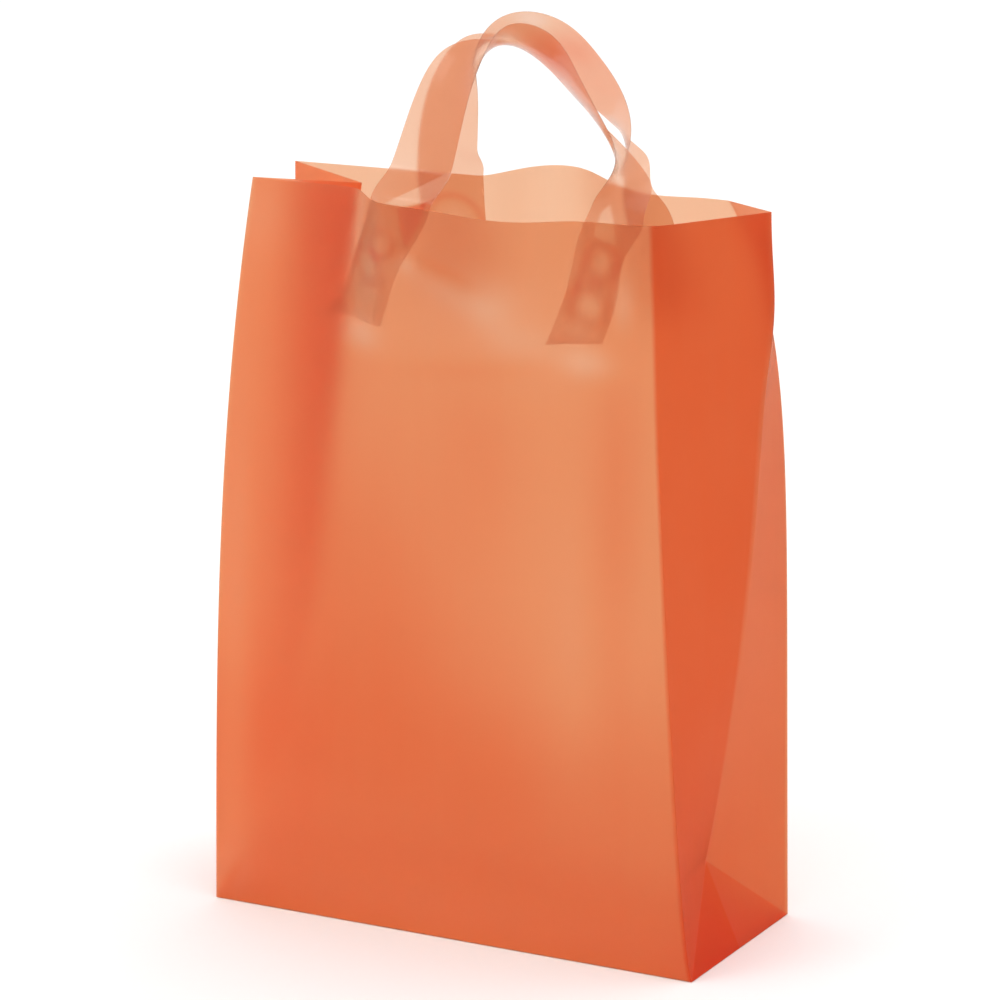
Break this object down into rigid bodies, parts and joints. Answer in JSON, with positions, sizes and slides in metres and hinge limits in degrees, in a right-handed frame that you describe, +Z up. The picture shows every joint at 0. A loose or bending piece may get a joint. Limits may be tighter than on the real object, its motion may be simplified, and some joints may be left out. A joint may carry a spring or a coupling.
{
  "type": "plastic carrier bag",
  "caption": "Open-topped frosted plastic carrier bag with a flat square bottom, folded side gussets and soft loop handles welded inside the rim.",
  "frame": {"origin": "centre of the flat square bottom, on its underside", "axes": "+Z up through the mouth, -Y out of the front panel, +X out of the open side gusset"},
  "size_m": [0.255, 0.1099, 0.4346],
  "materials": {
    "bag_film": "frosted orange high density film, satin, see-through",
    "front_handle_film": "frosted orange strip film, satin, see-through",
    "back_handle_film": "frosted orange strip film, satin, see-through"
  },
  "bodies": {
    "root": {"bag_body": "bag_film", "front_handle": "front_handle_film", "back_handle": "back_handle_film"}
  },
  "joints": []
}
